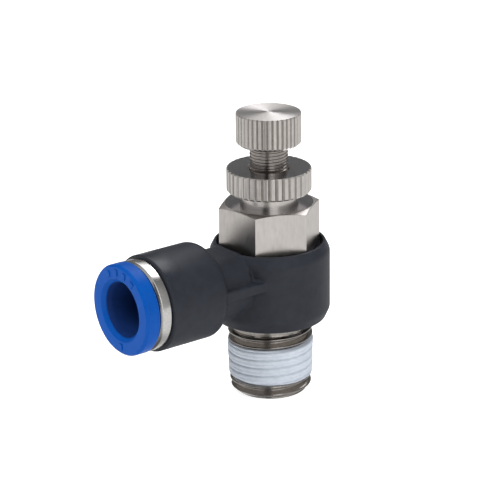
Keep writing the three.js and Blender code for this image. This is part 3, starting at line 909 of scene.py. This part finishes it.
AXIS_R = 0.001
NEEDLE_TIP, TIP_R = 18.6, 1.25
NEEDLE_SEAT_R, NEEDLE_SEAT_Z = 2.06, 20.92
NEEDLE_STEM_R, NEEDLE_STEM_LOW = 2.6, 21.3
PISTON_R, PISTON_LOW, PISTON_HIGH = 3.2, 22.9, 25.5
NEEDLE_GROOVE_R, NEEDLE_GROOVE_LOW, NEEDLE_GROOVE_HIGH = 2.3, 23.5, 24.8
SCREW_ROOT_R = 2.7
SCREW_PITCH = 0.5
SCREW_DEPTH = 0.2
SCREW_CREST_R = 2.98
SCREW_FLAT = 0.45
SCREW_LOW, SCREW_HIGH = 27.0, 40.2
SHANK_R, SHANK_TOP = 2.4, 44.0


def grooved(name, corners, crest_r, count, depth):
    """A turned piece whose rim has count straight grooves."""
    limit_from = crest_r - 1.2 * depth - 0.3

    def shape(r, angle):
        share = abs((angle * count / TURN) % 1.0 - 0.5) * 2 / GROOVE_SHARE
        limit = crest_r - depth * max(0.0, 1 - share) ** GROOVE_ROUNDNESS
        return min(r, limit) if r > limit_from else r

    outline = split_long(rounded(corners), GROOVE_ROW)
    return revolve(name, outline, upright, count * GROOVE_STEPS, shape, 28.0)


def paint_groove_shade(piece, crest_r, depth):
    """Painted shade down in the grooves: a darker copy of the nickel on the groove walls."""
    paint_light_on_faces(piece, "groove_shade_nickel", lambda centre, normal: (
        abs(normal.z) < 0.5 and crest_r - 1.1 * depth < spread(centre) < crest_r - 0.3 * depth))


def make_knob():
    """Knurled knob with a slightly hollow centre and a blind bore for the screw."""
    r, low, high = KNOB_R, KNOB_LOW[2], KNOB_HIGH[2]
    knob = grooved("knob_grip", [
        (KNOB_BORE_R, low, 0.05), (r - 0.49, low, 0.05), (r, low + 0.44, 0.15), (r, high - 0.16, 0.06),
        (r - 0.12, high - 0.02, 0.06), (2.4, high, 0), (0.3, high + 0.05, 0), (AXIS_R, high - 0.08, 0),
        (AXIS_R, KNOB_BORE_TOP, 0), (KNOB_BORE_R, KNOB_BORE_TOP, 0)], r - CREST_INSET, KNOB_GROOVES,
        KNOB_GROOVE_DEPTH)
    dress(knob, "needle_and_knob", "nickel_plate", "rim_nickel", "knob")
    # Painted shade: darker nickel on the knurl's groove walls
    paint_groove_shade(knob, r, KNOB_GROOVE_DEPTH)
    # Knob's top face: paler nickel, a painted highlight
    paint_light_on_faces(knob, "drawn_highlight_nickel", lambda centre, normal: centre.z > high - 0.12 and normal.z > 0.8)


def make_nut():
    """Knurled rim of the lock nut."""
    r, low, high = NUT_R, NUT_LOW[2], NUT_HIGH[2]
    rim = grooved("nut_rim", [
        (NUT_BORE_R, low, 0.1), (r - 0.25, low, 0.05), (r, low + 0.28, 0.08), (r, high - 0.16, 0.06),
        (r - 0.12, high, 0.06), (3.4, high, 0.05), (NUT_BORE_R, high - 0.3, 0.05)], r - CREST_INSET,
        NUT_GROOVES, NUT_GROOVE_DEPTH)
    dress(rim, "nut", "nickel_plate", "rim_nickel", "lock_nut")
    # Painted shade: darker nickel on the knurl's groove walls
    paint_groove_shade(rim, r, NUT_GROOVE_DEPTH)
    # Lock nut's top face: darker nickel, a painted dark reflection
    paint_light_on_faces(rim, "face_shade_nickel", lambda centre, normal: centre.z > high - 0.03 and normal.z > 0.8)


def make_collar():
    """Plain foot of the lock nut, drawn right down to the hexagon."""
    low, high = HEX_TOP + 0.005, COLLAR_HIGH[2]
    collar = ring("nut_collar", [
        (NUT_BORE_R, low, 0), (COLLAR_R, low, 0), (COLLAR_R, high, 0.05), (NUT_BORE_R, high, 0.05)])
    dress(collar, "nut_carrier", "nickel_plate", "turned_nickel", "lock_nut_collar")


def make_needle():
    """Tapered tip, stem, piston with its O-ring groove, and the adjusting screw up into the knob."""
    def radius(z, angle):
        return SCREW_CREST_R - SCREW_DEPTH * v_form(z / SCREW_PITCH - angle / TURN, SCREW_FLAT)

    before = [
        (AXIS_R, NEEDLE_TIP), (TIP_R, NEEDLE_TIP), (NEEDLE_SEAT_R, NEEDLE_SEAT_Z),
        (NEEDLE_STEM_R, NEEDLE_STEM_LOW), (NEEDLE_STEM_R, PISTON_LOW), (PISTON_R, PISTON_LOW),
        (PISTON_R, NEEDLE_GROOVE_LOW),
        (NEEDLE_GROOVE_R, NEEDLE_GROOVE_LOW), (NEEDLE_GROOVE_R, NEEDLE_GROOVE_HIGH),
        (PISTON_R, NEEDLE_GROOVE_HIGH), (PISTON_R, PISTON_HIGH), (SCREW_ROOT_R, PISTON_HIGH + 0.1),
        (SCREW_ROOT_R, SCREW_LOW - 0.1)]
    after = [(SHANK_R, SCREW_HIGH + 0.02), (SHANK_R, SHANK_TOP), (AXIS_R, SHANK_TOP)]
    needle = helical("needle_screw", SCREW_LOW, SCREW_HIGH, SCREW_PITCH, radius, before, after, columns=96,
                     samples=8, sharp=40.0)
    # The screw wears the darker nickel: painted shade between lock nut and knob
    dress(needle, "needle_and_knob", "nickel_plate", "screw_shade_nickel", "needle")


# ---------------------------------------------------------------- studio
VIEW_AZIMUTH = math.radians(-37.893)
VIEW_ELEVATION = math.radians(19.564)
VIEW_ROLL = math.radians(-0.646)
VIEW_DISTANCE = 400.0
VIEW_RIGHT, VIEW_UP = 3.295, -21.531
LENS = 180.95
SENSOR_WIDTH = 36.0

FLOOR_HALF = 4.0
FLOOR_GLOW = 0.85
PAPER_LIGHT = (0.60, 0.60, 0.60)
PAPER_DARK = (0.58, 0.58, 0.58)

# Brightness round the studio above the horizon: degrees from the camera, turning right, and level
SIDE_LIGHT = [
    (-180, 0.11), (-125, 0.12), (-95, 0.34), (-32, 0.38), (-22, 0.05), (0, 0.05), (5, 0.95), (30, 0.95),
    (40, 0.42), (70, 0.30), (95, 0.14), (130, 0.11), (180, 0.11),
]
# The same below the horizon, where upright metal looks
LOW_LIGHT = [
    (-180, 0.60), (-90, 0.62), (-24, 0.58), (-17, 0.22), (-2, 0.22), (4, 0.72), (36, 0.68), (90, 0.62),
    (150, 0.62), (180, 0.60),
]
HORIZON_BLEND = 0.06
# Heights of the direction, from -1 straight down, over which the underside's grey comes in
UNDERSIDE_FROM, UNDERSIDE_TO = -0.74, -0.94
UNDERSIDE_GREY = (0.10, 0.10, 0.10, 1)
STUDIO_SCALE = 1.25
SOFTBOX_TURN, SOFTBOX_RISE = math.radians(174), math.radians(60)
SOFTBOX_EDGE, SOFTBOX_CORE = math.radians(33), math.radians(21)
SOFTBOX_LEVEL = (1.0, 1.0, 1.0, 1)
LAMP_TURN, LAMP_RISE = math.radians(148), math.radians(51)
LAMP_EDGE, LAMP_CORE = math.radians(19), math.radians(9)
LAMP_LEVEL = (3.2, 3.2, 3.3, 1)

# Area lights: how far to the right of the object, towards the camera and up, in metres
LIGHT_TARGET = Vector((0, 0, 0.022))
KEY_PLACE, KEY_SIZE, KEY_POWER = (-0.35, 0.25, 0.5), (0.35, 0.35), 3.2
FILL_PLACE, FILL_SIZE, FILL_POWER = (0.5, 0.3, 0.25), (0.3, 0.5), 1.6
KEY_COLOUR = (1, 1, 1)
FILL_COLOUR = (0.94, 0.97, 1.0)


def view_axes():
    """Right, up and back directions of the camera."""
    a, e, roll = VIEW_AZIMUTH, VIEW_ELEVATION, VIEW_ROLL
    back = Vector((math.sin(a) * math.cos(e), -math.cos(a) * math.cos(e), math.sin(e)))
    right = Vector((math.cos(a), math.sin(a), 0))
    up = back.cross(right)
    return (right * math.cos(roll) + up * math.sin(roll), up * math.cos(roll) - right * math.sin(roll), back)


def make_camera():
    right, up, back = view_axes()
    data = bpy.data.cameras.new("camera")
    data.sensor_width = SENSOR_WIDTH
    data.lens = LENS
    data.clip_start = 0.01
    data.clip_end = 20.0
    camera = bpy.data.objects.new("camera", data)
    bpy.context.scene.collection.objects.link(camera)
    place = (right * -VIEW_RIGHT + up * -VIEW_UP + back * VIEW_DISTANCE) * MM
    turn = Matrix((right, up, back)).transposed().to_4x4()
    camera.matrix_world = Matrix.Translation(place) @ turn
    bpy.context.scene.camera = camera


def make_floor():
    """White paper sweep. Metal doesn't mirror it: its gloss comes from the studio round it."""
    corners = [(x * FLOOR_HALF, y * FLOOR_HALF, 0) for x, y in ((-1, -1), (1, -1), (1, 1), (-1, 1))]
    mesh = bpy.data.meshes.new("floor")
    mesh.from_pydata(corners, [], [(0, 1, 2, 3)])
    floor = bpy.data.objects.new("floor", mesh)
    bpy.context.scene.collection.objects.link(floor)
    floor.visible_glossy = False
    m = Surface("floor_white")
    m.set(Emission_Color=(1, 1, 1, 1), Emission_Strength=FLOOR_GLOW, Specular_IOR_Level=0.0, Roughness=1.0)
    paper = m.ramp(m.noise(40.0, 2.0), 0, 1)
    mesh.materials.append(m.finish(m.blend(paper, PAPER_LIGHT, PAPER_DARK)))


def make_world():
    """Soft studio: a big softbox above and behind, darker behind the object, a lamp beside the softbox.
    The camera itself sees plain white."""
    world = bpy.data.worlds.new("studio")
    bpy.context.scene.world = world
    world.use_nodes = True
    n = Nodes(world.node_tree)
    way = n.tree.nodes.new("ShaderNodeTexCoord").outputs["Generated"]
    right, _, back = view_axes()
    toward = Vector((back.x, back.y, 0)).normalized()
    aside = Vector((right.x, right.y, 0)).normalized()
    height = n.along(way, Vector((0, 0, 1)))
    turn = n.ramp(n.maths("ARCTAN2", n.along(way, aside), n.along(way, toward)), 0, 1, -math.pi, math.pi)

    def patch(azimuth, rise, edge, core):
        """1 within core of a direction, 0 beyond edge."""
        level = toward * math.cos(azimuth) + aside * math.sin(azimuth)
        centre = level * math.cos(rise) + Vector((0, 0, math.sin(rise)))
        return n.ramp(n.along(way, centre), 0, 1, math.cos(edge), math.cos(core))

    softbox = patch(SOFTBOX_TURN, SOFTBOX_RISE, SOFTBOX_EDGE, SOFTBOX_CORE)
    lamp = patch(LAMP_TURN, LAMP_RISE, LAMP_EDGE, LAMP_CORE)
    upper = n.mix(softbox, n.levels(turn, SIDE_LIGHT), SOFTBOX_LEVEL)
    upper = n.mix(lamp, upper, LAMP_LEVEL)
    above = n.ramp(height, 0, 1, -HORIZON_BLEND, HORIZON_BLEND)
    whole = n.mix(above, n.levels(turn, LOW_LIGHT), upper)
    below = n.ramp(height, 1, 0, UNDERSIDE_TO, UNDERSIDE_FROM)
    whole = n.mix(below, whole, UNDERSIDE_GREY)
    seen = n.tree.nodes.new("ShaderNodeLightPath").outputs["Is Camera Ray"]
    background = n.tree.nodes["Background"]
    n.link(n.mix(seen, whole, (1, 1, 1, 1)), background.inputs["Color"])
    background.inputs["Strength"].default_value = STUDIO_SCALE


def area_light(name, place, size, power, colour):
    """Soft lamp aimed at the object, unseen by the camera and in reflections."""
    right, _, back = view_axes()
    data = bpy.data.lights.new(name, "AREA")
    data.shape = "RECTANGLE"
    data.size, data.size_y = size
    data.energy = power
    data.color = colour
    light = bpy.data.objects.new(name, data)
    bpy.context.scene.collection.objects.link(light)
    light.location = LIGHT_TARGET + right * place[0] + back * place[1] + Vector((0, 0, place[2]))
    light.rotation_euler = (LIGHT_TARGET - light.location).to_track_quat("-Z", "Y").to_euler()
    light.visible_camera = False
    light.visible_glossy = False


make_camera()
make_floor()
make_world()
area_light("key", KEY_PLACE, KEY_SIZE, KEY_POWER, KEY_COLOUR)
area_light("fill", FILL_PLACE, FILL_SIZE, FILL_POWER, FILL_COLOUR)
make_hexagon()
make_thread()
make_sealant()
make_inner_rings()
make_snap_ring()
make_elbow()
make_guide_ring()
make_cartridge()
make_release_ring()
make_marks()
make_needle()
make_knob()
make_nut()
make_collar()

bpy.context.scene.view_settings.view_transform = "Standard"
